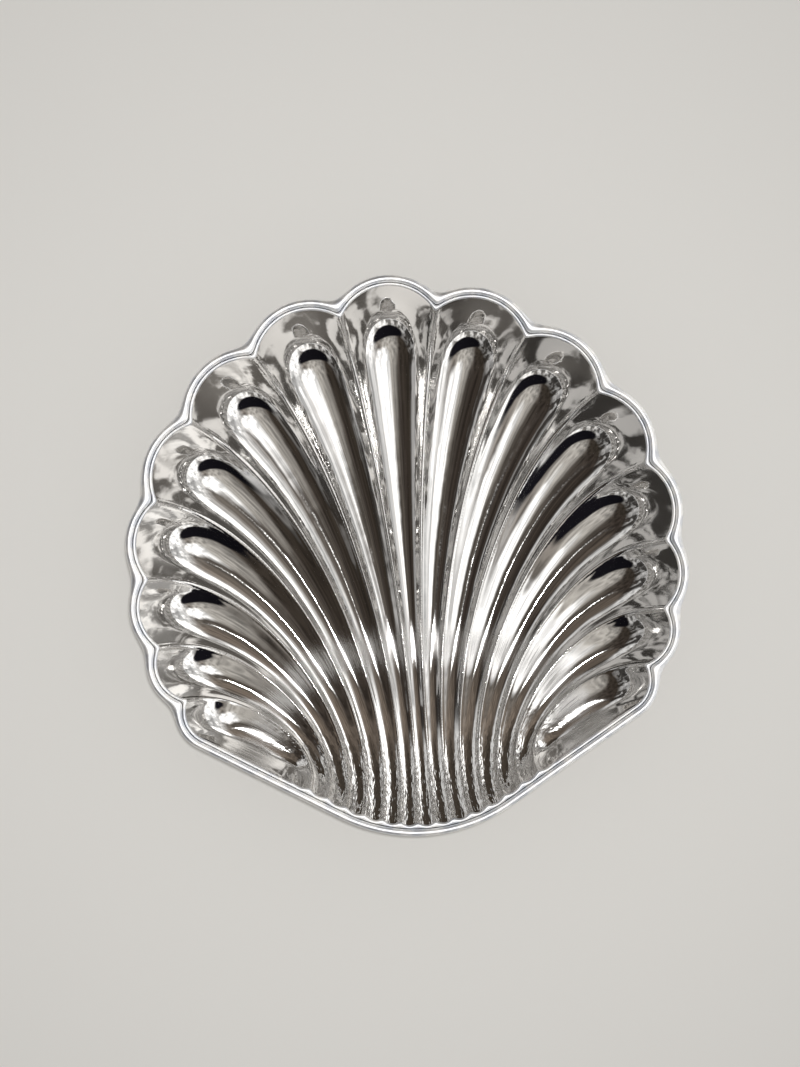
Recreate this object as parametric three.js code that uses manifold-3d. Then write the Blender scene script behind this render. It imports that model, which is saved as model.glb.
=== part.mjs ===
// Scallop-shell dish in silver-plated sheet, standing on three ball feet.
// Millimetres, +Z up. +Y points to the wide scalloped end, -Y to the narrow hinge end.
// The origin lies on the table, under the middle of the dish's length and width.
//
// Pieces: the fluted bowl with its narrow flange, the border wire soldered on that flange,
// and three ball feet soldered under the bowl.

import * as THREE from 'three';
import { mergeVertices } from 'three/addons/utils/BufferGeometryUtils.js';
import Module from 'manifold-3d';

const wasm = await Module();
wasm.setup();

const deg = Math.PI / 180;

// Outline of the opening, seen from above. All radii run from the centre of the fan.
const NOTCH_RADIUS = 59.4; // to the points between two lobes
const TOP_LOBE_RISE = 5.8; // the middle lobe stands out this far beyond the points
const SIDE_LOBE_RISE = 2.7; // the last lobe before each corner
const HINGE_REACH = 59.1; // from the fan centre straight down to the hinge edge
const HINGE_RADIUS = 36.5; // the rounded hinge end
const SIDE_SLOPE = 30.8 * deg; // the straight sides rise at this angle from the hinge
const CORNER_RADIUS = 7.0; // round corner between the last lobe and a straight side
const FLUTE_FAN = 21.15 * deg; // angle between two flutes in the middle of the fan
const FLUTE_FAN_CLOSING = 0.079 * deg; // and how it closes towards the corners
const HINGE_PITCH = 4.1; // from flute to flute along the hinge edge
const HINGE_SCALLOP = 0.6; // small waves of the edge at the hinge

// The bowl's sheet and its depth.
const BOWL_DEPTH = 20.0; // deepest point of the middle flute below the flange
const CORNER_DEPTH = 9.0; // deepest point of the two corner flutes
const FAN_DEPTH = 11.5; // depth of the middle flute just before its rounded end
const SHEET = 0.9;
const HINGE_WALL = 56.5; // length of the curved wall from the hinge to the deepest point
const CORNER_WALL = 8.0; // the same in the corner flutes
const FAN_WALL = 17.0; // length of the steep rounded end of each flute
const FLUTE_RELIEF = 0.2; // height of a ridge as a share of the distance between two ridges
const CREST_RADIUS = 1.1; // rounding of the ridges

// Border wire.
const WIRE_WIDTH = 2.4;
const WIRE_HEIGHT = 1.5;
const LIP_WIDTH = 0.7; // narrow inner lip
const LIP_HEIGHT = 0.85;
const GROOVE_HEIGHT = 0.45; // bottom of the groove between lip and bead
const INNER_BLEND = 0.4; // how softly the inner edge runs through the notches
const NOTCH_FILL = 1.6; // the same for the outer edge
const FLANGE_SET_BACK = 0.5; // the sheet's flange ends this far inside the wire's edge

// Ball feet.
const BALL_DIAMETER = 8.0;
const BALL_FLAT = 3.2; // ground flat that the foot stands on
const NECK_DIAMETER = 3.4;
const PAD_DIAMETER = 6.4; // spread top of the neck
const NECK_LENGTH = 1.0; // from the ball to the sheet, where the bowl is lowest
const HINGE_FOOT_REACH = 34.0; // under the middle flute, this far from the hinge edge
const FAN_FOOT_REACH = 80.0; // the other two feet, along their flutes
const FAN_FOOT_FLUTE = 2; // counted from the middle flute
const SOLDER_GAP = 0.3;

// Fineness of the meshes.
const STEPS = [-0.5, -0.36, -0.19, 0, 0.19, 0.36]; // across one flute
const ROWS = 21; // along a flute

const LOBES = 7; // flutes on each side of the middle one
const END = LOBES + 0.5; // a side edge, counted in flutes from the middle
const FLANGE = WIRE_WIDTH - FLANGE_SET_BACK;

// Heights above the table.
const BALL_CENTRE_Z = Math.sqrt((BALL_DIAMETER / 2) ** 2 - (BALL_FLAT / 2) ** 2);
const STAND_Z = BALL_CENTRE_Z + BALL_DIAMETER / 2 + NECK_LENGTH;
const FLANGE_Z = STAND_Z + SHEET + BOWL_DEPTH;

// Centre of the fan, placed so that the whole dish is centred over the origin.
const FAN_Y = (HINGE_REACH - NOTCH_RADIUS - TOP_LOBE_RISE) / 2;

const clamp = (x) => Math.min(1, Math.max(0, x));

// Direction of a flute or ridge at the scalloped end, from +Y. Flutes are whole numbers.
function fanAngle(s) {
  return FLUTE_FAN * s - FLUTE_FAN_CLOSING * s ** 3;
}

// Rises from 0 on the middle line of a flute to 1 on the ridges. The softness rounds the crests.
function crestWave(s, softness) {
  const c = Math.cos(Math.PI * s) ** 2;
  const rise = (v) => {
    const u = (2 / Math.PI) * Math.acos(Math.sqrt(v / (1 + softness ** 2)));
    return u * u * (1 + 0.3 * u * u);
  };
  return rise(c + softness ** 2) / rise(softness ** 2);
}

// Straight side: its distance from the fan centre and the direction of its normal from +Y.
const SIDE_NORMAL = Math.PI - SIDE_SLOPE;
const HINGE_CENTRE = HINGE_RADIUS - HINGE_REACH;
const SIDE_DISTANCE = HINGE_RADIUS + HINGE_CENTRE * Math.cos(SIDE_NORMAL);

// The circle of each lobe, as [x, y, radius] from the fan centre.
function lobeCircle(i) {
  if (Math.abs(i) === LOBES) {
    const a = fanAngle(END);
    const r = SIDE_DISTANCE / Math.cos(a - SIDE_NORMAL);
    const x = r * Math.sin(a) - CORNER_RADIUS * Math.sin(SIDE_NORMAL);
    return [Math.sign(i) * x, r * Math.cos(a) - CORNER_RADIUS * Math.cos(SIDE_NORMAL), CORNER_RADIUS];
  }
  const a = fanAngle(i - 0.5);
  const b = fanAngle(i + 0.5);
  const middle = (a + b) / 2;
  const half = NOTCH_RADIUS * Math.sin((b - a) / 2);
  const chord = NOTCH_RADIUS * Math.cos((b - a) / 2);
  const share = (1 - Math.abs(i) / LOBES) ** 2;
  const rise = SIDE_LOBE_RISE + (TOP_LOBE_RISE - SIDE_LOBE_RISE) * share + NOTCH_RADIUS - chord;
  const radius = (half ** 2 + rise ** 2) / (2 * rise);
  const centre = chord + rise - radius;
  return [centre * Math.sin(middle), centre * Math.cos(middle), radius];
}

const CIRCLES = [];
for (let i = -LOBES; i <= LOBES; i += 1) {
  CIRCLES.push(lobeCircle(i));
}

// Far crossing of a ray from the fan centre with a circle, or 0 where it misses.
function rayCircle(angle, x, y, radius) {
  const along = x * Math.sin(angle) + y * Math.cos(angle);
  const left = radius ** 2 - (x * x + y * y - along ** 2);
  return left > 0 ? along + Math.sqrt(left) : 0;
}

// Distance from the fan centre to the outline grown outwards by the given offset. The lobes
// are joined with a soft corner whose size is the blend.
function outlineRadius(angle, offset, blend) {
  const a = Math.abs(angle);
  const corner = CIRCLES[2 * LOBES];
  const r = CORNER_RADIUS + offset;
  const cornerEnd = Math.atan2(
    corner[0] + r * Math.sin(SIDE_NORMAL),
    corner[1] + r * Math.cos(SIDE_NORMAL),
  );
  if (a <= cornerEnd) {
    const hits = CIRCLES.map(([x, y, radius]) => rayCircle(a, x, y, radius + offset));
    const far = Math.max(...hits);
    return far + blend * Math.log(hits.reduce((sum, h) => sum + Math.exp((h - far) / blend), 0));
  }
  const h = HINGE_RADIUS + offset;
  const sideEnd = Math.atan2(h * Math.sin(SIDE_NORMAL), HINGE_CENTRE + h * Math.cos(SIDE_NORMAL));
  if (a <= sideEnd) {
    return (SIDE_DISTANCE + offset) / Math.cos(a - SIDE_NORMAL);
  }
  return rayCircle(a, 0, HINGE_CENTRE, h);
}

// Direction from the fan centre to the hinge end of a flute or ridge.
function hingeAngle(s) {
  const x = Math.abs(s) * HINGE_PITCH;
  const arcEnd = HINGE_RADIUS * Math.sin(SIDE_SLOPE);
  let y = HINGE_CENTRE - Math.sqrt(Math.max(0, HINGE_RADIUS ** 2 - x * x));
  if (x > arcEnd) {
    y = HINGE_CENTRE - HINGE_RADIUS * Math.cos(SIDE_SLOPE) + (x - arcEnd) * Math.tan(SIDE_SLOPE);
  }
  return Math.sign(s) * Math.atan2(x, y) + (s === 0 ? Math.PI : 0);
}

// One point of the grown outline. A wave draws the hinge edge in at each ridge.
function edgePoint(angle, offset, wave = 0) {
  const growth = clamp(offset / WIRE_WIDTH);
  const blend = INNER_BLEND + (NOTCH_FILL - INNER_BLEND) * growth;
  const fade = clamp(1 - offset / LIP_WIDTH);
  const r = outlineRadius(angle, offset, blend) - wave * fade;
  return new THREE.Vector2(r * Math.sin(angle), FAN_Y + r * Math.cos(angle));
}

// Waves of the hinge edge, fading out beside the straight sides.
function hingeWave(s) {
  const fade = clamp(2 * (END - Math.abs(s)));
  return HINGE_SCALLOP * crestWave(s, 0.5) * fade;
}

// How far the bends of a flute reach from its two ends, as shares of its length.
const START_PULL = 0.2;
const endPull = (a) => 0.304 + 0.0039 * a * a;

// Share of a flute's length that is covered at the place t along it.
function progress(a, t) {
  const u = 1 - t;
  return 3 * u * u * t * START_PULL + 3 * u * t * t * (1 - endPull(a)) + t ** 3;
}

// The line of a flute or ridge seen from above: straight off the hinge, then bending outwards
// to its place in the fan. The last flute on each side opens towards the straight side.
function flowPoint(s, t) {
  const sign = s < 0 ? -1 : 1;
  const a = Math.abs(s);
  const start = edgePoint(hingeAngle(a), 0, hingeWave(a));
  const end = edgePoint(fanAngle(a), 0);
  const length = start.distanceTo(end);
  const startDirection = ((-9 * a) / (1 + 0.25 * a)) * deg;
  const endDirection = (24 * a - 0.2635 * a ** 3) * deg;
  const p1 = new THREE.Vector2(Math.sin(startDirection), Math.cos(startDirection));
  p1.multiplyScalar(START_PULL * length).add(start);
  const p2 = new THREE.Vector2(Math.sin(endDirection), Math.cos(endDirection));
  p2.multiplyScalar(-endPull(a) * length).add(end);
  const opening = clamp(a - LOBES + 0.5) ** 2;
  p1.lerp(start.clone().lerp(end, 1 / 3), opening);
  p2.lerp(start.clone().lerp(end, 2 / 3), opening);
  const u = 1 - t;
  const x = u ** 3 * start.x + 3 * u * u * t * p1.x + 3 * u * t * t * p2.x + t ** 3 * end.x;
  const y = u ** 3 * start.y + 3 * u * u * t * p1.y + 3 * u * t * t * p2.y + t ** 3 * end.y;
  return new THREE.Vector2(sign * x, y);
}

// Length of a flute in plan, without the waves of the edge.
function fluteLength(a) {
  const start = edgePoint(hingeAngle(a), 0);
  const r = NOTCH_RADIUS + SIDE_LOBE_RISE;
  const end = new THREE.Vector2(r * Math.sin(fanAngle(a)), FAN_Y + r * Math.cos(fanAngle(a)));
  return start.distanceTo(end);
}

// Depth of the bowl's inside below the flange. A flute falls steeply from the hinge to its
// lowest point, rises gently and ends in a steep rounded wall; ridges part the flutes.
function depth(s, t, reliefShare = 1) {
  const a = Math.abs(s);
  const share = a / LOBES;
  const length = fluteLength(a);
  const run = progress(a, t) * length;
  const wall = HINGE_WALL - (HINGE_WALL - CORNER_WALL) * Math.min(share, 1) ** 2;
  const deepest = BOWL_DEPTH - (BOWL_DEPTH - CORNER_DEPTH) * share ** 2.2;
  const beforeEnd = FAN_DEPTH * (deepest / BOWL_DEPTH) ** 0.4;
  const rise = clamp((run - wall) / (length - wall)) ** 2.2;
  const floor = deepest - (deepest - Math.min(beforeEnd, deepest)) * rise;
  const hingeWall = 1 - clamp(1 - run / wall) ** 3;
  const fanWall = 1 - clamp(1 - (length - run) / FAN_WALL) ** 4;
  const fanPitch = NOTCH_RADIUS * (FLUTE_FAN - 3 * FLUTE_FAN_CLOSING * a * a);
  const pitch = HINGE_PITCH + (fanPitch - HINGE_PITCH) * t ** 2.4;
  const softness = (2.6 * CREST_RADIUS) / pitch;
  const ridge = a > LOBES ? 0 : crestWave(s, softness);
  const relief = reliefShare * FLUTE_RELIEF * pitch * ridge;
  const sideWall = 1 - clamp(1 - 2 * (END - a)) ** 3;
  return (floor - relief) * hingeWall * fanWall * sideWall;
}

// A point on the inside of the bowl.
function insidePoint(s, t, reliefShare = 1) {
  const p = flowPoint(s, t);
  return new THREE.Vector3(p.x, p.y, FLANGE_Z - depth(s, t, reliefShare));
}

// The matching point on the outside, one sheet thickness away, square to a bowl with lower
// ridges, so that the grooves under the ridges stay open. Beside the border it runs out to
// the underside of the flange.
function outsidePoint(s, t, rimPoint) {
  const e = 0.012;
  const s0 = Math.max(-END, s - 10 * e);
  const s1 = Math.min(END, s + 10 * e);
  const t0 = Math.max(0, t - e);
  const t1 = Math.min(1, t + e);
  const across = insidePoint(s1, t, 0.35).sub(insidePoint(s0, t, 0.35));
  const along = insidePoint(s, t1, 0.35).sub(insidePoint(s, t0, 0.35));
  const normal = across.cross(along).normalize();
  const inside = insidePoint(s, t);
  const down = normal.clone().multiplyScalar(-SHEET);
  if (rimPoint) {
    down.set(rimPoint.x - inside.x, rimPoint.y - inside.y, -SHEET);
  }
  return inside.add(down);
}

// Places across the flutes, closer together beside the ridges.
function columnPlaces() {
  const places = [];
  for (let i = -LOBES; i <= LOBES; i += 1) {
    places.push(...STEPS.map((step) => i + step));
  }
  places.push(END);
  return places;
}

// Places along a flute, closer together at both ends.
function rowPlaces() {
  return Array.from({ length: ROWS + 1 }, (_, k) => {
    const x = k / ROWS;
    return 0.6 * x + 0.4 * (0.5 - 0.5 * Math.cos(Math.PI * x));
  });
}

// The border in order round the dish: the scalloped end from right to left, the left side,
// the hinge from left to right and the right side. Each stop has its direction and wave.
function borderStops(columns, rows) {
  const stops = [];
  const last = columns.length - 1;
  const angleOf = (p) => Math.atan2(p.x, p.y - FAN_Y);
  for (let c = last; c >= 0; c -= 1) {
    stops.push({ c, r: ROWS, angle: fanAngle(columns[c]), wave: 0 });
  }
  for (let r = ROWS - 1; r > 0; r -= 1) {
    stops.push({ c: 0, r, angle: angleOf(flowPoint(-END, rows[r])), wave: 0 });
  }
  for (let c = 0; c <= last; c += 1) {
    stops.push({ c, r: 0, angle: hingeAngle(columns[c]), wave: hingeWave(columns[c]) });
  }
  for (let r = 1; r < ROWS; r += 1) {
    stops.push({ c: last, r, angle: angleOf(flowPoint(END, rows[r])), wave: 0 });
  }
  return stops;
}

// A closed mesh from points and quads.
function quadMesh(points, quads) {
  const index = [];
  for (const [a, b, c, d] of quads) {
    index.push(a, b, c);
    if (d !== c) {
      index.push(a, c, d);
    }
  }
  const geometry = new THREE.BufferGeometry();
  geometry.setAttribute('position', new THREE.Float32BufferAttribute(points, 3));
  geometry.setIndex(index);
  return geometry;
}

// Fluted sheet bowl: inside, outside and the flat flange all round. The second body is the
// same bowl filled to the brim, which the feet are cut to.
function makeBowl() {
  const columns = columnPlaces();
  const rows = rowPlaces();
  const stops = borderStops(columns, rows);
  const wide = columns.length;
  const points = [];
  const quads = [];
  const add = (x, y, z) => points.push(x, y, z) / 3 - 1;
  const inside = rows.map((t) => columns.map((s) => add(...insidePoint(s, t).toArray())));
  const rimOf = new Map();
  for (const stop of stops) {
    rimOf.set(`${stop.c},${stop.r}`, edgePoint(stop.angle, SHEET, stop.wave));
  }
  const outside = rows.map((t, r) => columns.map((s, c) => {
    return add(...outsidePoint(s, t, rimOf.get(`${c},${r}`)).toArray());
  }));
  for (let r = 0; r < ROWS; r += 1) {
    for (let c = 0; c < wide - 1; c += 1) {
      quads.push([inside[r][c], inside[r][c + 1], inside[r + 1][c + 1], inside[r + 1][c]]);
      quads.push([outside[r][c], outside[r + 1][c], outside[r + 1][c + 1], outside[r][c + 1]]);
    }
  }
  const ring = (z) => stops.map((stop) => {
    const p = edgePoint(stop.angle, FLANGE, stop.wave);
    return add(p.x, p.y, z);
  });
  const top = ring(FLANGE_Z);
  const bottom = ring(FLANGE_Z - SHEET);
  stops.forEach((stop, k) => {
    const n = (k + 1) % stops.length;
    const next = stops[n];
    const a = inside[stop.r][stop.c];
    const b = inside[next.r][next.c];
    const c = outside[stop.r][stop.c];
    const d = outside[next.r][next.c];
    quads.push([a, b, top[n], top[k]].reverse());
    quads.push([top[k], top[n], bottom[n], bottom[k]].reverse());
    quads.push([bottom[k], bottom[n], d, c].reverse());
  });
  const bowl = quadMesh(points, quads);
  const lid = add(0, 0, FLANGE_Z);
  const filled = [];
  for (let r = 0; r < ROWS; r += 1) {
    for (let c = 0; c < wide - 1; c += 1) {
      filled.push([outside[r][c], outside[r + 1][c], outside[r + 1][c + 1], outside[r][c + 1]]);
    }
  }
  stops.forEach((stop, k) => {
    const next = stops[(k + 1) % stops.length];
    filled.push([outside[stop.r][stop.c], outside[next.r][next.c], lid, lid]);
  });
  return { bowl, filled: quadMesh(points, filled) };
}

// Section of the border wire as [distance out, height]: inner lip, groove, round bead.
function wireSection() {
  const bead = (WIRE_WIDTH - LIP_WIDTH) / 2;
  const middle = WIRE_WIDTH - bead;
  const section = [[0, 0], [0, 0.6 * LIP_HEIGHT], [0.3 * LIP_WIDTH, LIP_HEIGHT]];
  section.push([0.75 * LIP_WIDTH, 0.9 * LIP_HEIGHT], [LIP_WIDTH, GROOVE_HEIGHT]);
  for (const turn of [155, 115, 75, 35]) {
    const x = middle + bead * Math.cos(turn * deg);
    const z = GROOVE_HEIGHT + (WIRE_HEIGHT - GROOVE_HEIGHT) * Math.sin(turn * deg);
    section.push([x, z]);
  }
  section.push([WIRE_WIDTH, GROOVE_HEIGHT], [WIRE_WIDTH - 0.2, 0]);
  return section;
}

// Border wire all round the dish, flat underneath, on the flange.
function makeWire() {
  const columns = columnPlaces();
  const rows = rowPlaces();
  const stops = borderStops(columns, rows).filter((stop) => stop.r === ROWS || stop.r % 7 === 0);
  const section = wireSection();
  const points = [];
  const quads = [];
  for (const stop of stops) {
    for (const [out, up] of section) {
      const p = edgePoint(stop.angle, out, stop.wave);
      points.push(p.x, p.y, FLANGE_Z + up);
    }
  }
  const n = section.length;
  stops.forEach((_, k) => {
    const a = k * n;
    const b = ((k + 1) % stops.length) * n;
    for (let j = 0; j < n; j += 1) {
      const i = (j + 1) % n;
      quads.push([a + j, b + j, b + i, a + i].reverse());
    }
  });
  return quadMesh(points, quads);
}

// A closed mesh as a solid that can be cut.
function toSolid(geometry) {
  const bare = geometry.clone();
  bare.deleteAttribute('normal');
  bare.deleteAttribute('uv');
  const merged = mergeVertices(bare, 1e-5);
  const vertProperties = new Float32Array(merged.attributes.position.array);
  const triVerts = new Uint32Array(merged.index.array);
  return new wasm.Manifold(new wasm.Mesh({ numProp: 3, vertProperties, triVerts }));
}

function toGeometry(solid) {
  const mesh = solid.getMesh();
  const geometry = new THREE.BufferGeometry();
  geometry.setAttribute('position', new THREE.Float32BufferAttribute(mesh.vertProperties, 3));
  geometry.setIndex(Array.from(mesh.triVerts));
  return geometry;
}

// Place along a flute that lies a given distance from the hinge edge.
function placeAt(a, reach) {
  let low = 0;
  let high = 1;
  for (let k = 0; k < 40; k += 1) {
    const middle = (low + high) / 2;
    if (progress(a, middle) * fluteLength(a) < reach) {
      low = middle;
    } else {
      high = middle;
    }
  }
  return low;
}

// Turned foot under a flute: a ball with a ground flat and a neck that spreads into a pad,
// cut to the underside of the bowl.
function makeFoot(s, reach, filled) {
  const t = placeAt(Math.abs(s), reach);
  const seat = insidePoint(s, t);
  const r = BALL_DIAMETER / 2;
  const start = Math.asin(BALL_FLAT / 2 / r);
  const end = Math.PI - Math.asin(NECK_DIAMETER / 2 / r);
  const profile = [new THREE.Vector2(0, 0)];
  for (let k = 0; k <= 9; k += 1) {
    const a = start + ((end - start) * k) / 9;
    profile.push(new THREE.Vector2(r * Math.sin(a), BALL_CENTRE_Z - r * Math.cos(a)));
  }
  const neck = profile[profile.length - 1].y;
  const under = seat.z - SHEET;
  for (const v of [0.45, 0.7, 0.88, 1]) {
    const radius = NECK_DIAMETER / 2 + ((PAD_DIAMETER - NECK_DIAMETER) / 2) * v ** 3;
    profile.push(new THREE.Vector2(radius, neck + (under - neck) * v));
  }
  profile.push(new THREE.Vector2(PAD_DIAMETER / 2, under + PAD_DIAMETER / 2));
  profile.push(new THREE.Vector2(0, under + PAD_DIAMETER / 2));
  const turned = new THREE.LatheGeometry(profile, 16);
  turned.rotateX(Math.PI / 2);
  turned.translate(seat.x, seat.y, 0);
  return toGeometry(toSolid(turned).subtract(filled.translate([0, 0, -SOLDER_GAP])));
}

const silver = (color, roughness) => new THREE.MeshStandardMaterial({
  color,
  roughness,
  metalness: 1,
});

const dish = new THREE.Group();

function addPiece(name, geometry, material) {
  const flat = geometry.index ? geometry : mergeVertices(geometry);
  flat.computeVertexNormals();
  const mesh = new THREE.Mesh(flat, material);
  mesh.name = name;
  dish.add(mesh);
}

const { bowl, filled } = makeBowl();
const filledSolid = toSolid(filled);
addPiece('bowl', bowl, silver('#b9b4aa', 0.12));
addPiece('rim_wire', makeWire(), silver('#c9c9c8', 0.2));
const feet = [['foot_hinge', 0, HINGE_FOOT_REACH]];
feet.push(['foot_left', -FAN_FOOT_FLUTE, FAN_FOOT_REACH]);
feet.push(['foot_right', FAN_FOOT_FLUTE, FAN_FOOT_REACH]);
for (const [name, flute, reach] of feet) {
  addPiece(name, makeFoot(flute, reach, filledSolid), silver('#b9b4aa', 0.2));
}

export default dish;
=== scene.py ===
# A scallop-shell dish in silver-plated brass, standing on a pale table top.
# Blender 4.5, metres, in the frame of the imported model: +Z up, +Y towards the wide scalloped end.
import math

import bpy
import numpy as np
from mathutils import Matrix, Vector
from mathutils.bvhtree import BVHTree


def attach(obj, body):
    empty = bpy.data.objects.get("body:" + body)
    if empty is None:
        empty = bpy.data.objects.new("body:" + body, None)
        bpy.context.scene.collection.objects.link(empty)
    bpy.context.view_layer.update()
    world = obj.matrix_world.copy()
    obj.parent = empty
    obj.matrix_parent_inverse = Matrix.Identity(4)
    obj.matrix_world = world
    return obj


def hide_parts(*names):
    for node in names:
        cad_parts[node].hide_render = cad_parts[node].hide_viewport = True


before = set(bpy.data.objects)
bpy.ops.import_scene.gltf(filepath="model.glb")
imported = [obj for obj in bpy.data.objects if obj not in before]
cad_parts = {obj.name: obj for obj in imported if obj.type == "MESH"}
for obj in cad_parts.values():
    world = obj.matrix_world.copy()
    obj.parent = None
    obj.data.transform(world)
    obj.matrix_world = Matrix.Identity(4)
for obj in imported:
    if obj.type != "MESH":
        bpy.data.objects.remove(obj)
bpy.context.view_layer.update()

# ------------------------------------------------------------------------------------------
# Bowl. One sheet of brass, pressed into fifteen flutes between a ribbed punch and die, trimmed
# to a narrow flange, silver-plated and polished on a mop. The flutes spring from the small
# rounded hinge end, bend outwards and end in round lobes.

MM = 0.001

# Outline of the opening, from the centre of the fan, in millimetres.
NOTCH_RADIUS = 59.4
TOP_LOBE_RISE = 5.8
SIDE_LOBE_RISE = 2.7
HINGE_REACH = 59.1
HINGE_RADIUS = 36.5
SIDE_SLOPE = math.radians(30.8)
CORNER_RADIUS = 7.0
FLUTE_FAN = math.radians(21.15)
FLUTE_FAN_CLOSING = math.radians(0.079)
HINGE_PITCH = 4.1
HINGE_SCALLOP = 0.6

# Sheet, depths and walls.
BOWL_DEPTH = 20.0
CORNER_DEPTH = 9.0
FAN_DEPTH = 11.5
SHEET = 0.9
HINGE_WALL = 56.5
CORNER_WALL = 8.0
FAN_WALL = 17.0
FLUTE_RELIEF = 0.2
CREST_RADIUS = 1.1
FLANGE = 1.9
FLANGE_Z = 29.566

# The edge is drawn softly through the notches between two lobes.
WIRE_WIDTH = 2.4
LIP_WIDTH = 0.7
INNER_BLEND = 0.4
NOTCH_FILL = 1.6

LOBES = 7
END = LOBES + 0.5
FAN_Y = (HINGE_REACH - NOTCH_RADIUS - TOP_LOBE_RISE) / 2
SIDE_NORMAL = math.pi - SIDE_SLOPE
HINGE_CENTRE = HINGE_RADIUS - HINGE_REACH
SIDE_DISTANCE = HINGE_RADIUS + HINGE_CENTRE * math.cos(SIDE_NORMAL)

# How flute a bends from above: the pull of its ends, as shares of its length, and the degrees
# from +Y at which it leaves the hinge and reaches the edge.
START_PULL = 0.2
END_PULL, END_PULL_GROWTH = 0.304, 0.0039
LEAVE, LEAVE_DAMPING = -9, 0.25
ARRIVE, ARRIVE_DROP = 24, 0.2635

# Powers: how late the flutes get shallow towards the corners, how late a floor rises towards
# its lobe, and how late the ridges spread and grow on their way from the hinge.
CORNER_POWER = 2.2
FLOOR_POWER = 2.2
SPREAD_POWER = 2.4


def fan_angle(s):
    """Direction of flute s at the scalloped end, from +Y. Ridges lie at the halves."""
    return FLUTE_FAN * s - FLUTE_FAN_CLOSING * s**3


def crest_wave(s, softness):
    """0 on the middle line of a flute, 1 on a ridge, with the crest rounded by the softness."""

    def rise(v):
        u = 2 / np.pi * np.arccos(np.sqrt(v / (1 + softness**2)))
        return u * u * (1 + 0.3 * u * u)

    return rise(np.cos(np.pi * s) ** 2 + softness**2) / rise(softness**2)


def lobe_circle(i):
    """The circle of lobe i, as x, y and radius from the centre of the fan."""
    if abs(i) == LOBES:
        a = fan_angle(END)
        r = SIDE_DISTANCE / math.cos(a - SIDE_NORMAL)
        x = r * math.sin(a) - CORNER_RADIUS * math.sin(SIDE_NORMAL)
        y = r * math.cos(a) - CORNER_RADIUS * math.cos(SIDE_NORMAL)
        return math.copysign(x, i), y, CORNER_RADIUS
    a = fan_angle(i - 0.5)
    b = fan_angle(i + 0.5)
    half = NOTCH_RADIUS * math.sin((b - a) / 2)
    chord = NOTCH_RADIUS * math.cos((b - a) / 2)
    rise = SIDE_LOBE_RISE + NOTCH_RADIUS - chord
    rise += (TOP_LOBE_RISE - SIDE_LOBE_RISE) * (1 - abs(i) / LOBES) ** 2
    radius = (half**2 + rise**2) / (2 * rise)
    centre = chord + rise - radius
    middle = (a + b) / 2
    return centre * math.sin(middle), centre * math.cos(middle), radius


CIRCLES = np.array([lobe_circle(i) for i in range(-LOBES, LOBES + 1)])


def ray_circle(angle, x, y, radius):
    """Far crossing of a ray from the centre of the fan with a circle, 0 where it misses."""
    along = x * np.sin(angle) + y * np.cos(angle)
    left = radius**2 - (x * x + y * y - along**2)
    return np.where(left > 0, along + np.sqrt(np.maximum(left, 0)), 0)


def edge_point(angle, offset, wave=0.0):
    """A point of the outline grown outwards; a wave draws the hinge edge in at each ridge."""
    angle, offset, wave = np.broadcast_arrays(angle, np.asarray(offset, float), wave)
    a = np.abs(angle)
    blend = INNER_BLEND + (NOTCH_FILL - INNER_BLEND) * np.clip(offset / WIRE_WIDTH, 0, 1)
    radii = CIRCLES[:, 2] + offset[..., None]
    hits = ray_circle(a[..., None], CIRCLES[:, 0], CIRCLES[:, 1], radii)
    far = hits.max(axis=-1)
    spread = np.exp((hits - far[..., None]) / blend[..., None]).sum(axis=-1)
    lobes = far + blend * np.log(spread)
    side = (SIDE_DISTANCE + offset) / np.cos(a - SIDE_NORMAL)
    h = HINGE_RADIUS + offset
    hinge = ray_circle(a, 0.0, HINGE_CENTRE, h)
    c = CORNER_RADIUS + offset
    corner = np.array([math.sin(SIDE_NORMAL), math.cos(SIDE_NORMAL)])
    side_start = np.arctan2(CIRCLES[-1, 0] + c * corner[0], CIRCLES[-1, 1] + c * corner[1])
    side_end = np.arctan2(h * corner[0], HINGE_CENTRE + h * corner[1])
    r = np.where(a <= side_start, lobes, np.where(a <= side_end, side, hinge))
    r = r - wave * np.clip(1 - offset / LIP_WIDTH, 0, 1)
    return np.stack([r * np.sin(angle), FAN_Y + r * np.cos(angle)], axis=-1)


def hinge_angle(s):
    """Direction from the centre of the fan to the hinge end of a flute or ridge."""
    x = np.abs(s) * HINGE_PITCH
    arc_end = HINGE_RADIUS * math.sin(SIDE_SLOPE)
    arc = HINGE_CENTRE - np.sqrt(np.maximum(0, HINGE_RADIUS**2 - x * x))
    side = HINGE_CENTRE - HINGE_RADIUS * math.cos(SIDE_SLOPE)
    side = side + (x - arc_end) * math.tan(SIDE_SLOPE)
    y = np.where(x > arc_end, side, arc)
    return np.where(s < 0, -1, 1) * np.arctan2(x, y)


def hinge_wave(s):
    """Small waves of the hinge edge, fading out beside the straight sides."""
    return HINGE_SCALLOP * crest_wave(s, 0.5) * np.clip(2 * (END - np.abs(s)), 0, 1)


def end_pull(a):
    """Pull of a flute's far end on its bend."""
    return END_PULL + END_PULL_GROWTH * a * a


def progress(a, t):
    """Share of a flute's length that is covered at the place t along it."""
    u = 1 - t
    return 3 * u * u * t * START_PULL + 3 * u * t * t * (1 - end_pull(a)) + t**3


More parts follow.
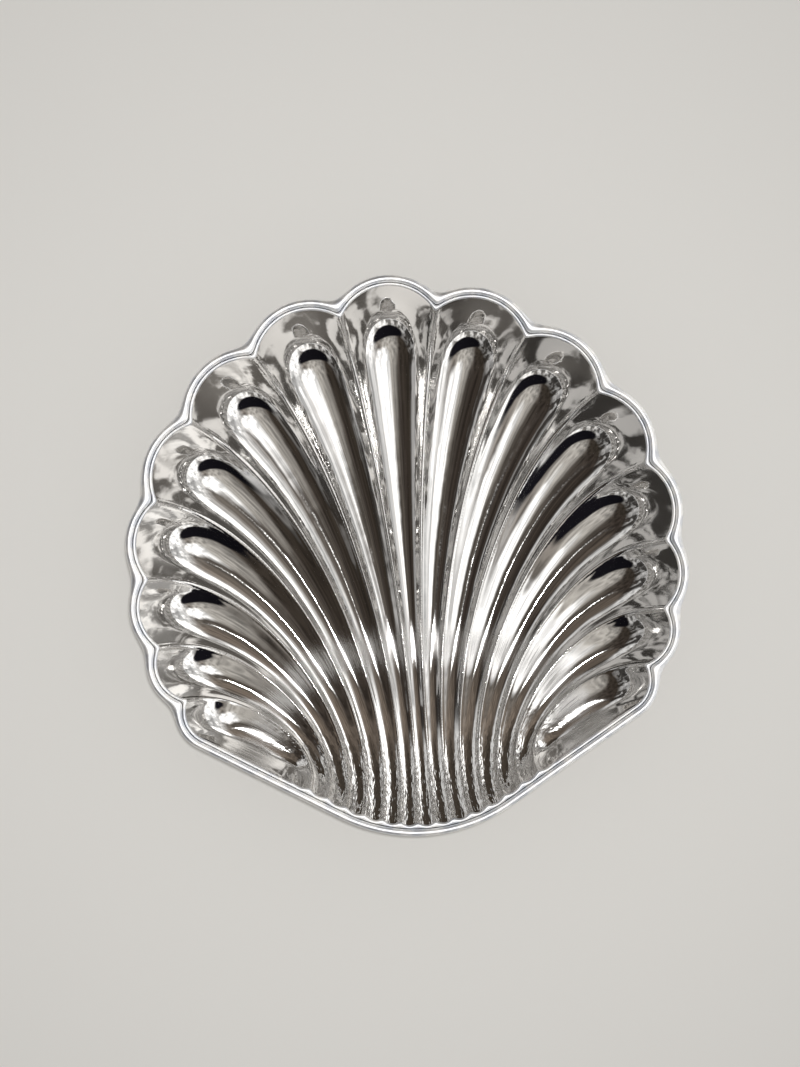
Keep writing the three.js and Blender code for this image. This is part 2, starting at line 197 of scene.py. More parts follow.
def flow_point(s, t):
    """The line of a flute or ridge from above, straight off the hinge, then bending outwards."""
    sign = np.where(s < 0, -1.0, 1.0)
    a = np.abs(s)
    start = edge_point(hinge_angle(a), 0, hinge_wave(a))
    end = edge_point(fan_angle(a), 0)
    length = np.linalg.norm(end - start, axis=-1)
    leave = np.radians(LEAVE * a / (1 + LEAVE_DAMPING * a))
    arrive = np.radians(ARRIVE * a - ARRIVE_DROP * a**3)
    pull = (START_PULL * length)[..., None]
    p1 = start + pull * np.stack([np.sin(leave), np.cos(leave)], axis=-1)
    pull = (end_pull(a) * length)[..., None]
    p2 = end - pull * np.stack([np.sin(arrive), np.cos(arrive)], axis=-1)
    opening = (np.clip(a - LOBES + 0.5, 0, 1) ** 2)[..., None]
    p1 = p1 + opening * (start + (end - start) / 3 - p1)
    p2 = p2 + opening * (start + (end - start) * 2 / 3 - p2)
    t = t[..., None]
    u = 1 - t
    p = u**3 * start + 3 * u * u * t * p1 + 3 * u * t * t * p2 + t**3 * end
    return np.stack([sign * p[..., 0], p[..., 1]], axis=-1)


def flute_length(a):
    """Straight distance from the hinge end of flute a to its lobe."""
    start = edge_point(hinge_angle(a), 0)
    r = NOTCH_RADIUS + SIDE_LOBE_RISE
    x = r * np.sin(fan_angle(a))
    y = FAN_Y + r * np.cos(fan_angle(a))
    return np.hypot(start[..., 0] - x, start[..., 1] - y)


def depth(s, t, relief_share=1.0):
    """Depth of the inside below the flange: a steep hinge wall, a gentle rise, a steep end."""
    a = np.abs(s)
    share = a / LOBES
    length = flute_length(a)
    run = progress(a, t) * length
    wall = HINGE_WALL - (HINGE_WALL - CORNER_WALL) * np.minimum(share, 1) ** 2
    deepest = BOWL_DEPTH - (BOWL_DEPTH - CORNER_DEPTH) * share**CORNER_POWER
    before_end = np.minimum(FAN_DEPTH * (deepest / BOWL_DEPTH) ** 0.4, deepest)
    rise = np.clip((run - wall) / (length - wall), 0, 1) ** FLOOR_POWER
    floor = deepest - (deepest - before_end) * rise
    hinge_wall = 1 - np.clip(1 - run / wall, 0, 1) ** 3
    fan_wall = 1 - np.clip(1 - (length - run) / FAN_WALL, 0, 1) ** 4
    fan_pitch = NOTCH_RADIUS * (FLUTE_FAN - 3 * FLUTE_FAN_CLOSING * a * a)
    pitch = HINGE_PITCH + (fan_pitch - HINGE_PITCH) * t**SPREAD_POWER
    ridge = np.where(a > LOBES, 0, crest_wave(s, 2.6 * CREST_RADIUS / pitch))
    relief = relief_share * FLUTE_RELIEF * pitch * ridge
    side_wall = 1 - np.clip(1 - 2 * (END - a), 0, 1) ** 3
    return (floor - relief) * hinge_wall * fan_wall * side_wall


def inside_point(s, t, relief_share=1.0):
    """The inside at flute or ridge s and place t, with the ridges at a share of their height."""
    p = flow_point(s, t)
    z = FLANGE_Z - depth(s, t, relief_share)
    return np.concatenate([p, z[..., None]], axis=-1)


def outside_point(s, t):
    """The outside, one sheet thickness from the inside, measured square to a softened form."""
    e = 0.012
    soft = 0.35
    low = {"s": np.maximum(-END, s - 10 * e), "t": np.maximum(0, t - e)}
    high = {"s": np.minimum(END, s + 10 * e), "t": np.minimum(1, t + e)}
    across = inside_point(high["s"], t, soft) - inside_point(low["s"], t, soft)
    along = inside_point(s, high["t"], soft) - inside_point(s, low["t"], soft)
    normal = np.cross(across, along)
    normal /= np.linalg.norm(normal, axis=-1, keepdims=True)
    return inside_point(s, t) - SHEET * normal


# Fine mesh: places across each flute are closer together beside the ridges.
ACROSS = 24
ALONG = 132
v = np.arange(-ACROSS // 2, ACROSS // 2) / ACROSS
steps = v + 0.5 / (2 * np.pi) * np.sin(2 * np.pi * v)
COLUMNS = np.append((np.arange(-LOBES, LOBES + 1)[:, None] + steps).ravel(), END)
x = np.arange(ALONG + 1) / ALONG
ROWS = 0.6 * x + 0.4 * (0.5 - 0.5 * np.cos(np.pi * x))


def border_stops():
    """The border in order round the dish: row, column, direction and wave of each stop."""
    last = len(COLUMNS) - 1
    top = [(ALONG, c, fan_angle(COLUMNS[c]), 0.0) for c in range(last, -1, -1)]
    side = flow_point(np.full(ALONG + 1, -END), ROWS)
    turn = np.arctan2(side[:, 0], side[:, 1] - FAN_Y)
    left = [(r, 0, turn[r], 0.0) for r in range(ALONG - 1, 0, -1)]
    turns = hinge_angle(COLUMNS)
    waves = hinge_wave(COLUMNS)
    hinge = [(0, c, turns[c], waves[c]) for c in range(last + 1)]
    right = [(r, last, -turn[r], 0.0) for r in range(1, ALONG)]
    return top + left + hinge + right


STOPS = border_stops()
STOP_ANGLES = np.array([stop[2] for stop in STOPS])
STOP_WAVES = np.array([stop[3] for stop in STOPS])


def wire_ring(offset, z):
    """One closed line of points at a distance outside the opening, in border order."""
    p = edge_point(STOP_ANGLES, np.full(len(STOPS), float(offset)), STOP_WAVES)
    return np.column_stack([p, np.full(len(STOPS), float(z))])


def add_piece(name, points, quads, material, sharp=40.0, flow=None, **shares):
    """A smooth-shaded piece from points in millimetres, with edges above an angle kept sharp.

    Shares are values from 0 to 1 at the points, which its material reads by name, and flow is
    a place on the piece for each point, kept as a UV map.
    """
    mesh = bpy.data.meshes.new(name)
    mesh.from_pydata((np.asarray(points) * MM).tolist(), [], np.asarray(quads).tolist())
    mesh.polygons.foreach_set("use_smooth", [True] * len(mesh.polygons))
    mesh.set_sharp_from_angle(angle=math.radians(sharp))
    mesh.materials.append(material)
    for share, values in shares.items():
        attribute = mesh.attributes.new(share, "FLOAT", "POINT")
        attribute.data.foreach_set("value", np.asarray(values, np.float32))
    if flow is not None:
        corners = np.asarray(quads).ravel()
        mesh.uv_layers.new(name="flow").data.foreach_set("uv", flow[corners].ravel())
    piece = bpy.data.objects.new(name, mesh)
    bpy.context.scene.collection.objects.link(piece)
    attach(piece, "root")
    return piece


def linear(colour):
    """A linear RGBA colour from an sRGB hex value."""
    parts = [int(colour[i : i + 2], 16) / 255 for i in (1, 3, 5)]
    return [p / 12.92 if p <= 0.04045 else ((p + 0.055) / 1.055) ** 2.4 for p in parts] + [1.0]


def add_node(tree, kind, links=None, **settings):
    """Adds a node. Settings are its properties or input values; links feed its inputs."""
    new = tree.nodes.new(kind)
    for name, value in settings.items():
        if hasattr(new, name):
            setattr(new, name, value)
        else:
            new.inputs[name.replace("_", " ")].default_value = value
    for name, output in (links or {}).items():
        tree.links.new(output, new.inputs[name])
    return new


def sum_of(tree, *terms):
    """Adds up terms of (output, factor); a factor is a number or another output."""
    total = None
    for output, factor in terms:
        last = add_node(tree, "ShaderNodeMath", {0: output}, operation="MULTIPLY_ADD")
        if isinstance(factor, float):
            last.inputs[1].default_value = factor
        else:
            tree.links.new(factor, last.inputs[1])
        last.inputs[2].default_value = 0.0
        if total is not None:
            tree.links.new(total, last.inputs[2])
        total = last.outputs["Value"]
    return total


# Silver plate polished on a mop: a mirror under a faint uneven haze, on sheet that sways a
# little. The worked share is 1 where the press puckered the sheet, in the hinge wall, and low
# round the lobes. The crest share marks the beaded crests, wear the band across the flutes
# where the mop's scoring shows and spreads the lamp into a row of glows, and back the duller
# outside. Real scoring lines are some hundredths of a millimetre apart. To show here, there
# are 45 to a flute, which is one in 0.1 mm by the hinge and in 0.5 mm by the lobes.
silver = bpy.data.materials.new("silver_plate_mop_polished")
silver.use_nodes = True
tree = silver.node_tree
place = add_node(tree, "ShaderNodeTexCoord").outputs["Object"]
flow = add_node(tree, "ShaderNodeUVMap", uv_map="flow").outputs["UV"]
worked = add_node(tree, "ShaderNodeAttribute", attribute_name="worked").outputs["Fac"]
crest = add_node(tree, "ShaderNodeAttribute", attribute_name="crest").outputs["Fac"]
back = add_node(tree, "ShaderNodeAttribute", attribute_name="back").outputs["Fac"]
wear = add_node(tree, "ShaderNodeAttribute", attribute_name="wear").outputs["Fac"]
noises = {}
for name, size_mm, detail in (("sway", 7, 1.5), ("grain", 0.5, 1.0)):
    noises[name] = add_node(
        tree, "ShaderNodeTexNoise", {"Vector": place}, Scale=1 / (size_mm * MM), Detail=detail
    ).outputs["Fac"]
for name, lines, run_mm in (("draw", 9, 25), ("scoring", 45, 12), ("pucker", 9, 1.5)):
    lanes = add_node(
        tree, "ShaderNodeMapping", {"Vector": flow}, Scale=(lines, 1 / run_mm, 1)
    )
    noises[name] = add_node(
        tree, "ShaderNodeTexNoise", {"Vector": lanes.outputs["Vector"]}, Scale=1.0, Detail=1.0
    ).outputs["Fac"]
flute = add_node(tree, "ShaderNodeSeparateXYZ", {"Vector": flow}).outputs["X"]
part = add_node(tree, "ShaderNodeMath", {0: flute}, operation="PINGPONG")
part.inputs[1].default_value = 0.5
# A narrow fold runs along every ridge, which lies half a flute from the flute's middle line.
fold = add_node(
    tree,
    "ShaderNodeMapRange",
    {"Value": part.outputs[0]},
    interpolation_type="SMOOTHSTEP",
    From_Min=0.44,
    From_Max=0.5,
)
wrinkled = sum_of(tree, (noises["pucker"], worked))
beaded = sum_of(tree, (noises["grain"], crest))
relief = sum_of(
    tree,
    (noises["sway"], 0.5),
    (wrinkled, 3.5),
    (beaded, 0.3),
    (noises["draw"], 0.1),
    (fold.outputs["Result"], 0.8),
)
bump = add_node(tree, "ShaderNodeBump", {"Height": relief}, Strength=1.0, Distance=0.14 * MM)
scored = add_node(
    tree,
    "ShaderNodeMapRange",
    {"Value": noises["scoring"]},
    From_Min=0.48,
    From_Max=0.56,
    To_Min=0.2,
    To_Max=0.36,
)
haze = add_node(
    tree, "ShaderNodeMapRange", {"Value": noises["grain"]}, To_Min=0.01, To_Max=0.07
)
rough = sum_of(
    tree, (haze.outputs["Result"], 1.0), (scored.outputs["Result"], wear), (back, 0.16)
)
across = add_node(tree, "ShaderNodeTangent", direction_type="UV_MAP", uv_map="flow")
shader = tree.nodes["Principled BSDF"]
shader.inputs["Metallic"].default_value = 1.0
shader.inputs["Base Color"].default_value = linear("#eceae7")
shader.inputs["Anisotropic"].default_value = 1.0
tree.links.new(across.outputs["Tangent"], shader.inputs["Tangent"])
tree.links.new(rough, shader.inputs["Roughness"])
tree.links.new(bump.outputs["Normal"], shader.inputs["Normal"])

COUNT = len(COLUMNS)
S, T = np.meshgrid(COLUMNS, ROWS)
inside = inside_point(S, T)
outside = outside_point(S, T)
rows = np.array([stop[0] for stop in STOPS])
columns = np.array([stop[1] for stop in STOPS])
outside[rows, columns] = wire_ring(SHEET, FLANGE_Z - SHEET)
top_ring = wire_ring(FLANGE, FLANGE_Z)
bottom_ring = wire_ring(FLANGE, FLANGE_Z - SHEET)
points = np.concatenate([inside.reshape(-1, 3), outside.reshape(-1, 3), top_ring, bottom_ring])

grid = np.arange(inside.shape[0] * COUNT).reshape(-1, COUNT)
cells = [grid[:-1, :-1], grid[:-1, 1:], grid[1:, 1:], grid[1:, :-1]]
quads_in = np.stack(cells, axis=-1).reshape(-1, 4)
quads_out = quads_in[:, ::-1] + grid.size
this_stop = np.arange(len(STOPS))
next_stop = np.roll(this_stop, -1)
inner = rows * COUNT + columns
outer = inner + grid.size
top = 2 * grid.size + this_stop
bottom = top + len(STOPS)
quads_rim = [
    np.stack([top, top[next_stop], inner[next_stop], inner], axis=-1),
    np.stack([bottom, bottom[next_stop], top[next_stop], top], axis=-1),
    np.stack([outer, outer[next_stop], bottom[next_stop], bottom], axis=-1),
]

# Where the sheet is worked, beaded and worn, by flute and by millimetres along it. The scored
# row crosses the middle flute 39 mm from the hinge and bends towards the hinge at the sides.
SCORED_ROW = 39
SCORED_BEND = 0.53
SCORED_WIDTH = 4.5
PUCKERED_HINGE = 11
PUCKERED_LOBE = 9
a = np.abs(S)
run = progress(a, T) * flute_length(a)
left = flute_length(a) - run
ridge = np.clip(2.2 * crest_wave(S, 0.35) - 1.2, 0, 1)
crest = np.clip(6 * crest_wave(S, 0.15) - 5, 0, 1)
worked = np.clip(1.6 - run / PUCKERED_HINGE, 0, 1) * np.clip((END - a) * 0.8, 0, 1)
worked = worked * (0.25 + 0.75 * ridge)
worked = np.maximum(worked, 0.025 * np.clip(1.15 - left / PUCKERED_LOBE, 0, 1))
wear = np.exp(-(((run - SCORED_ROW + SCORED_BEND * a * a) / SCORED_WIDTH) ** 2))
rest = np.zeros(2 * len(STOPS))
none = np.zeros(grid.size)
flow = np.column_stack([S.ravel(), run.ravel()])
bowl = add_piece(
    "bowl_sheet",
    points,
    np.concatenate([quads_in, quads_out, *quads_rim]),
    silver,
    flow=np.concatenate([flow, flow, flow[inner], flow[inner]]),
    worked=np.concatenate([worked.ravel(), 0.3 * worked.ravel(), rest]),
    crest=np.concatenate([crest.ravel(), none, rest]),
    wear=np.concatenate([wear.ravel(), none, rest]),
    back=np.concatenate([none, none + 1, rest]),
)
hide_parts("bowl")

# ------------------------------------------------------------------------------------------
# Border wire. A drawn brass wire, flat below, with a narrow inner lip, a groove and a round
# bead. It is bent to the outline and soft-soldered all round on the flange, then plated.

WIRE_HEIGHT = 1.5
LIP_HEIGHT = 0.85
GROOVE_HEIGHT = 0.45
BEAD = (WIRE_WIDTH - LIP_WIDTH) / 2

# Silver plate on drawn wire: satin from wear, with a mottled bloom of tarnish that shows as
# soft blue-grey clouds some millimetres long. The groove is painted dark brown-black: painted
# shade.
worn = bpy.data.materials.new("silver_plate_satin_worn")
worn.use_nodes = True
tree = worn.node_tree
place = add_node(tree, "ShaderNodeTexCoord").outputs["Object"]
groove = add_node(tree, "ShaderNodeAttribute", attribute_name="groove").outputs["Fac"]
clouds = add_node(
    tree, "ShaderNodeTexNoise", {"Vector": place}, Scale=1 / (3.5 * MM), Detail=3.0
).outputs["Fac"]
dents = add_node(
    tree, "ShaderNodeTexNoise", {"Vector": place}, Scale=1 / (1.1 * MM), Detail=2.0
).outputs["Fac"]
bloom = add_node(tree, "ShaderNodeValToRGB", {"Fac": clouds})
bloom.color_ramp.elements[0].position = 0.38
bloom.color_ramp.elements[0].color = linear("#e2e4e8")
bloom.color_ramp.elements[1].position = 0.6
bloom.color_ramp.elements[1].color = linear("#fefdfb")
# Painted shade: the groove mask mixes a dark brown-black into the wire's colour.
groove_shade = add_node(tree, "ShaderNodeMix", {"Factor": groove}, data_type="RGBA")
tree.links.new(bloom.outputs["Color"], groove_shade.inputs[6])
groove_shade.inputs[7].default_value = linear("#3b3731")
bump = add_node(tree, "ShaderNodeBump", {"Height": dents}, Strength=1.0, Distance=0.05 * MM)
shader = tree.nodes["Principled BSDF"]
shader.inputs["Metallic"].default_value = 1.0
tree.links.new(groove_shade.outputs[2], shader.inputs["Base Color"])
satin = add_node(tree, "ShaderNodeMapRange", {"Value": clouds}, To_Min=0.35, To_Max=0.7)
tree.links.new(satin.outputs["Result"], shader.inputs["Roughness"])
tree.links.new(bump.outputs["Normal"], shader.inputs["Normal"])

turns = np.radians(np.linspace(172, 0, 20))
bead_x = WIRE_WIDTH - BEAD + BEAD * np.cos(turns)
bead_z = GROOVE_HEIGHT + (WIRE_HEIGHT - GROOVE_HEIGHT) * np.sin(turns)
turns = np.radians(np.linspace(180, 8, 12))
lip_x = LIP_WIDTH / 2 + LIP_WIDTH / 2 * np.cos(turns)
lip_z = 0.4 + (LIP_HEIGHT - 0.4) * np.sin(turns)
section_x = np.concatenate([[0], lip_x, bead_x, [WIRE_WIDTH - 0.2]])
section_z = np.concatenate([[0], lip_z, bead_z, [0]])

rings = [wire_ring(x, FLANGE_Z + z) for x, z in zip(section_x, section_z)]
points = np.stack(rings, axis=1).reshape(-1, 3)
corner = np.arange(len(rings))
after = np.roll(corner, -1)
here = this_stop[:, None] * len(rings) + corner
there = next_stop[:, None] * len(rings) + corner
quads = np.stack([here[:, after], there[:, after], there, here], axis=-1).reshape(-1, 4)
# Mask of the groove, where the painted shade goes.
low = np.exp(-(((section_x - LIP_WIDTH) / 0.12) ** 2)) * (section_z < GROOVE_HEIGHT + 0.25)
wire = add_piece("border_wire", points, quads, worn, groove=np.tile(low, len(STOPS)))
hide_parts("rim_wire")

# ------------------------------------------------------------------------------------------
# Three ball feet, turned from brass rod, with a ground flat below and a neck that spreads
# into a pad. Each is soldered to the underside of its flute.

BALL_RADIUS = 4.0
BALL_FLAT = 1.6
NECK_RADIUS = 1.7
PAD_RADIUS = 3.2
HINGE_FOOT = (0.0, -27.28)
FAN_FOOT = (25.21, 19.87)
AROUND = 48

# Silver plate on turned brass, polished on the mop. The mop couldn't get in by the neck, so a
# brown tarnish is left there and up round the pad. Faint turning rings run round the ball,
# drawn 0.4 mm apart where real ones are nearer 0.1 mm, so that they show.
ball_plate = bpy.data.materials.new("silver_plate_turned_ball")
ball_plate.use_nodes = True
tree = ball_plate.node_tree
place = add_node(tree, "ShaderNodeTexCoord").outputs["Object"]
level = add_node(tree, "ShaderNodeSeparateXYZ", {"Vector": place}).outputs["Z"]
rings = add_node(
    tree, "ShaderNodeTexNoise", {"W": level}, noise_dimensions="1D", Scale=1 / (0.4 * MM)
).outputs["Fac"]
stain = add_node(
    tree, "ShaderNodeTexNoise", {"Vector": place}, Scale=1 / (1.5 * MM), Detail=3.0
).outputs["Fac"]
neck = add_node(tree, "ShaderNodeAttribute", attribute_name="neck").outputs["Fac"]
dulled = sum_of(tree, (neck, 0.8), (stain, 0.5))
tarnish = add_node(
    tree, "ShaderNodeMapRange", {"Value": dulled}, From_Min=0.3, From_Max=0.9
)
tint = add_node(tree, "ShaderNodeMix", {"Factor": tarnish.outputs[0]}, data_type="RGBA")
tint.inputs[6].default_value = linear("#e9e6e0")
tint.inputs[7].default_value = linear("#7d6a52")
haze = add_node(tree, "ShaderNodeMapRange", {"Value": dulled}, To_Min=0.08, To_Max=0.5)
bump = add_node(tree, "ShaderNodeBump", {"Height": rings}, Strength=1.0, Distance=0.01 * MM)
shader = tree.nodes["Principled BSDF"]
shader.inputs["Metallic"].default_value = 1.0
tree.links.new(tint.outputs[2], shader.inputs["Base Color"])
tree.links.new(haze.outputs["Result"], shader.inputs["Roughness"])
tree.links.new(bump.outputs["Normal"], shader.inputs["Normal"])

underside = BVHTree.FromObject(bowl, bpy.context.evaluated_depsgraph_get())


def under_height(x, y):
    """Height of the bowl's underside above a place on the table, in millimetres."""
    hit = underside.ray_cast(Vector((x * MM, y * MM, 0)), Vector((0, 0, 1)))[0]
    return hit.z / MM


def add_foot(name, node, x, y):
    """One foot under the bowl: flat, ball, neck and pad, the pad following the underside."""
    centre = math.sqrt(BALL_RADIUS**2 - BALL_FLAT**2)
    start = math.asin(BALL_FLAT / BALL_RADIUS)
    end = math.pi - math.asin(NECK_RADIUS / BALL_RADIUS)
    profile = [(r, 0.0, 0.0) for r in (0.0, 0.8, BALL_FLAT - 0.12)]
    for turn in np.linspace(start + 0.03, end, 26):
        height = centre - BALL_RADIUS * math.cos(turn)
        profile.append((BALL_RADIUS * math.sin(turn), height, 0.0))
    neck = profile[-1][1]
    for share in np.linspace(0.08, 1, 14):
        spread = NECK_RADIUS + (PAD_RADIUS - NECK_RADIUS) * share**3
        profile.append((spread, neck, share))
    around = np.arange(AROUND) * 2 * math.pi / AROUND
    pad = [(x + PAD_RADIUS * math.cos(w), y + PAD_RADIUS * math.sin(w)) for w in around]
    top = np.array([under_height(*p) for p in pad]) + 0.06
    points = []
    for radius, height, share in profile:
        z = height + (top - height) * share
        points += list(zip(x + radius * np.cos(around), y + radius * np.sin(around), z))
    quads = []
    for ring in range(len(profile) - 1):
        for w in range(AROUND):
            low = ring * AROUND
            turned = (w + 1) % AROUND
            quads.append((low + w, low + turned, low + AROUND + turned, low + AROUND + w))
    reach = np.repeat([share for radius, height, share in profile], AROUND)
    foot = add_piece(name, points, quads, ball_plate, neck=reach)
    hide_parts(node)
    return foot


add_foot("ball_foot_hinge", "foot_hinge", *HINGE_FOOT)
add_foot("ball_foot_left", "foot_left", -FAN_FOOT[0], FAN_FOOT[1])
add_foot("ball_foot_right", "foot_right", *FAN_FOOT)

# ------------------------------------------------------------------------------------------
# Table top: a plain pale matt board. It fills the view and carries the dish's soft shadow, and
# lies 0.2 mm below the feet so that their ground flats stay clear of it.

board = bpy.data.materials.new("pale_matt_board")
board.use_nodes = True
shader = board.node_tree.nodes["Principled BSDF"]
shader.inputs["Base Color"].default_value = linear("#e2e0dc")
shader.inputs["Roughness"].default_value = 0.9
mesh = bpy.data.meshes.new("table_top")
corners = [(x, y, -0.0002) for x, y in ((-4, -4), (4, -4), (4, 4), (-4, 4))]
mesh.from_pydata(corners, [], [(0, 1, 2, 3)])
mesh.materials.append(board)
table = bpy.data.objects.new("table_top", mesh)
bpy.context.scene.collection.objects.link(table)

# ------------------------------------------------------------------------------------------
# Studio light: a plain grey room for the silver to mirror, darker overhead and on the left,
# lighter on the right, with a dark screen in front and one small lamp above the dish. Only
# mirrored rays see the room: the board is lit by an even pale grey, as its backdrop is.

world = bpy.data.worlds.new("grey_room")
bpy.context.scene.world = world
world.use_nodes = True
tree = world.node_tree
where = add_node(tree, "ShaderNodeTexCoord").outputs["Generated"]
aside, away, height = add_node(tree, "ShaderNodeSeparateXYZ", {"Vector": where}).outputs

# The bare walls, from the horizon to overhead.
walls = add_node(tree, "ShaderNodeValToRGB", {"Fac": height})
bands = (
    (0.0, "#dad8d5"),
    (0.2, "#b4afa9"),
    (0.5, "#938d87"),
    (0.8, "#6e6862"),
    (1.0, "#5a544e"),
)
elements = walls.color_ramp.elements
while len(elements) < len(bands):
    elements.new(0.5)
for element, (position, colour) in zip(elements, bands):
    element.position = position
    element.color = linear(colour)
room = walls.outputs["Color"]


def add_patch(base, colour, direction, edge, core):
    """Blends a colour over the base round a direction, from the edge angle to the core.

    The colour is a hex value, or a number for a plain grey, which may be brighter than white.
    """
    toward = add_node(
        tree, "ShaderNodeVectorMath", {"Vector": where}, operation="DOT_PRODUCT"
    )
    toward.inputs[1].default_value = Vector(direction).normalized()
    share = add_node(
        tree,
        "ShaderNodeMapRange",
        {"Value": toward.outputs["Value"]},
        interpolation_type="SMOOTHSTEP",
        From_Min=math.cos(math.radians(edge)),
        From_Max=math.cos(math.radians(core)),
    )
    blend = add_node(
        tree, "ShaderNodeMix", {"Factor": share.outputs["Result"]}, data_type="RGBA"
    )
    tree.links.new(base, blend.inputs[6])
    hue = linear(colour) if isinstance(colour, str) else (colour, colour, colour, 1)
    blend.inputs[7].default_value = hue
    return blend.outputs[2]


# A light wall on the right, and dark ones on the left.
for colour, direction, edge, core in (
    (0.85, (1.0, 0.0, 0.05), 55, 25),
    ("#48403a", (-1.0, 0.0, 0.45), 64, 30),
    ("#453e37", (-0.85, -0.5, 0.55), 34, 18),
):
    room = add_patch(room, colour, direction, edge, core)

# Light and dark things stand about the room, up to head height. The silver mirrors itself in
# its steep walls, and what it sees at second hand is more broken up by them, at every height.
squat = add_node(tree, "ShaderNodeVectorMath", {"Vector": where}, operation="MULTIPLY")
squat.inputs[1].default_value = (1.0, 1.0, 0.4)
low = add_node(
    tree,
    "ShaderNodeMapRange",
    {"Value": height},
    From_Min=0.35,
    From_Max=0.6,
    To_Min=0.6,
    To_Max=0.0,
)
views = []
for size, share in ((6.0, low.outputs["Result"]), (4.0, 0.65)):
    things = add_node(
        tree,
        "ShaderNodeTexNoise",
        {"Vector": squat.outputs["Vector"]},
        Scale=size,
        Detail=3.0,
    )
    things = add_node(
        tree,
        "ShaderNodeMapRange",
        {"Value": things.outputs["Fac"]},
        From_Min=0.48,
        From_Max=0.56,
        To_Min=0.08,
        To_Max=1.3,
    )
    blend = add_node(tree, "ShaderNodeMix", data_type="RGBA")
    if isinstance(share, float):
        blend.inputs["Factor"].default_value = share
    else:
        tree.links.new(share, blend.inputs["Factor"])
    tree.links.new(room, blend.inputs[6])
    tree.links.new(things.outputs["Result"], blend.inputs[7])
    views.append(blend.outputs[2])
room, seen_twice = views

# Brown dusk behind the fan, and bright reflector cloths: two low at the back, one on the right
# and three overhead, one large and dim and two small and bright.
for colour, direction, edge, core in (
    ("#766b61", (0.0, 1.0, 0.9), 46, 20),
    ("#453e37", (0.0, 1.0, 0.25), 38, 24),
    (1.0, (-0.72, 0.69, 0.15), 21, 12),
    (1.5, (0.79, 0.61, 0.17), 24, 14),
    ("#bcb8b2", (0.05, -0.6, 0.95), 28, 12),
    (1.35, (0.3, -0.27, 0.91), 15, 6),
    (1.3, (0.53, -0.18, 0.84), 17, 8),
    (1.1, (0.85, -0.5, 0.05), 34, 16),
):
    room = add_patch(room, colour, direction, edge, core)

# The walls and cloths are lit unevenly, in soft clouds.
clouds = add_node(tree, "ShaderNodeTexNoise", {"Vector": where}, Scale=8.0, Detail=3.0)
clouds = add_node(
    tree,
    "ShaderNodeMapRange",
    {"Value": clouds.outputs["Fac"]},
    From_Min=0.35,
    From_Max=0.65,
    To_Min=0.6,
    To_Max=1.45,
)
uneven = add_node(
    tree,
    "ShaderNodeVectorMath",
    {"Vector": room, "Scale": clouds.outputs["Result"]},
    operation="SCALE",
)

# A dark screen in front, a wide oval by the turn from the front, in radians, and by the height.
# It makes the black arches at the round ends of the flutes.
SCREEN_TURN = 0.12
SCREEN_HEIGHT = 0.5
SCREEN_HALF_WIDTH = 0.82
SCREEN_HALF_HEIGHT = 0.19
heading = add_node(
    tree, "ShaderNodeMath", {0: aside, 1: sum_of(tree, (away, -1.0))}, operation="ARCTAN2"
)
spot = add_node(
    tree, "ShaderNodeCombineXYZ", {"X": heading.outputs["Value"], "Y": height}
)
oval = add_node(
    tree,
    "ShaderNodeMapping",
    {"Vector": spot.outputs["Vector"]},
    Location=(-SCREEN_TURN / SCREEN_HALF_WIDTH, -SCREEN_HEIGHT / SCREEN_HALF_HEIGHT, 0),
    Scale=(1 / SCREEN_HALF_WIDTH, 1 / SCREEN_HALF_HEIGHT, 1),
)
from_middle = add_node(
    tree, "ShaderNodeVectorMath", {"Vector": oval.outputs["Vector"]}, operation="LENGTH"
)
shade = add_node(
    tree,
    "ShaderNodeMapRange",
    {"Value": from_middle.outputs["Value"]},
    interpolation_type="SMOOTHSTEP",
    From_Min=0.88,
    From_Max=1.12,
    To_Min=1.0,
    To_Max=0.0,
)
screened = add_node(
    tree, "ShaderNodeMix", {"Factor": shade.outputs["Result"]}, data_type="RGBA"
)
tree.links.new(uneven.outputs["Vector"], screened.inputs[6])
screened.inputs[7].default_value = linear("#151419")

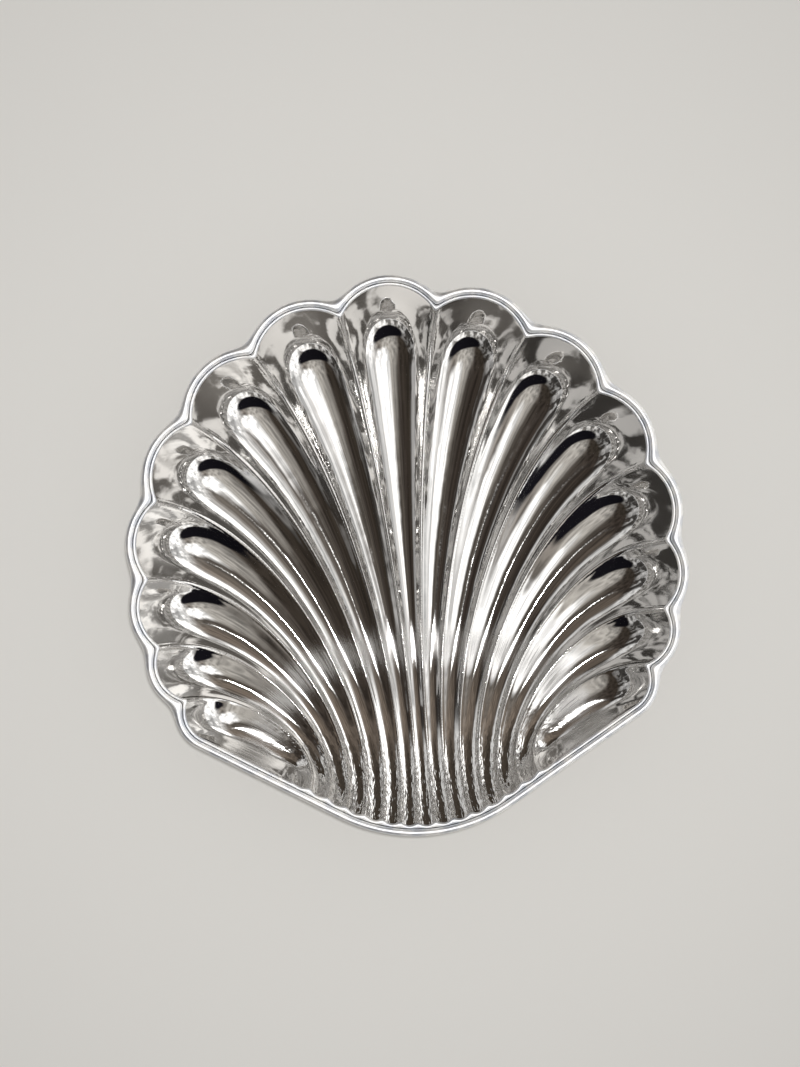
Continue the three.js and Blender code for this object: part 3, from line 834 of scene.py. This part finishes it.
# Put together: the room, or what is seen at second hand, brighter towards the right, for
# mirrored rays, and an even grey for all others.
path = add_node(tree, "ShaderNodeLightPath").outputs
again = add_node(
    tree, "ShaderNodeMath", {0: path["Glossy Depth"]}, operation="GREATER_THAN"
)
again.inputs[1].default_value = 1.5
mirrored = add_node(tree, "ShaderNodeMix", {"Factor": again.outputs[0]}, data_type="RGBA")
tree.links.new(screened.outputs[2], mirrored.inputs[6])
tree.links.new(seen_twice, mirrored.inputs[7])
level = add_node(
    tree,
    "ShaderNodeMapRange",
    {"Value": aside},
    From_Min=-0.5,
    From_Max=0.6,
    To_Min=0.62,
    To_Max=1.22,
)
sided = add_node(
    tree,
    "ShaderNodeVectorMath",
    {"Vector": mirrored.outputs[2], "Scale": level.outputs["Result"]},
    operation="SCALE",
)
seen = add_node(tree, "ShaderNodeMix", {"Factor": path["Is Glossy Ray"]}, data_type="RGBA")
seen.inputs[6].default_value = linear("#c0bfbd")
tree.links.new(sided.outputs["Vector"], seen.inputs[7])
tree.links.new(seen.outputs[2], tree.nodes["Background"].inputs["Color"])

# The lamp is small, round and bright, 31 cm above the bowl. Its power comes from the
# brightness of its face.
LAMP_PLACE = (0.004, 0.012, 0.345)
LAMP_TARGET = (0, 0, 0.02)
LAMP_WIDTH = 0.007
LAMP_BRIGHTNESS = 4000.0

lamp_data = bpy.data.lights.new("lamp_above", "AREA")
lamp_data.shape = "ELLIPSE"
lamp_data.size = LAMP_WIDTH
lamp_data.size_y = LAMP_WIDTH
lamp_data.energy = LAMP_BRIGHTNESS * math.pi * (math.pi / 4 * LAMP_WIDTH**2)
lamp = bpy.data.objects.new("lamp_above", lamp_data)
lamp.location = LAMP_PLACE
aim = Vector(LAMP_TARGET) - Vector(LAMP_PLACE)
lamp.rotation_euler = aim.to_track_quat("-Z", "Y").to_euler()
bpy.context.scene.collection.objects.link(lamp)

# ------------------------------------------------------------------------------------------
# Camera: straight above, at the photograph's distance, framing and slight turn.

FILM = 36.0
VIEW_HEIGHT = 0.2442
VIEW_DISTANCE = 0.3

camera_data = bpy.data.cameras.new("camera")
camera_data.sensor_width = FILM
camera_data.lens = FILM * VIEW_DISTANCE / VIEW_HEIGHT
camera = bpy.data.objects.new("camera", camera_data)
camera.location = (-0.00106, 0.00513, 0.331)
camera.rotation_euler = (0, 0, math.radians(-4.4))
bpy.context.scene.collection.objects.link(camera)
bpy.context.scene.camera = camera
bpy.context.scene.view_settings.view_transform = "Standard"
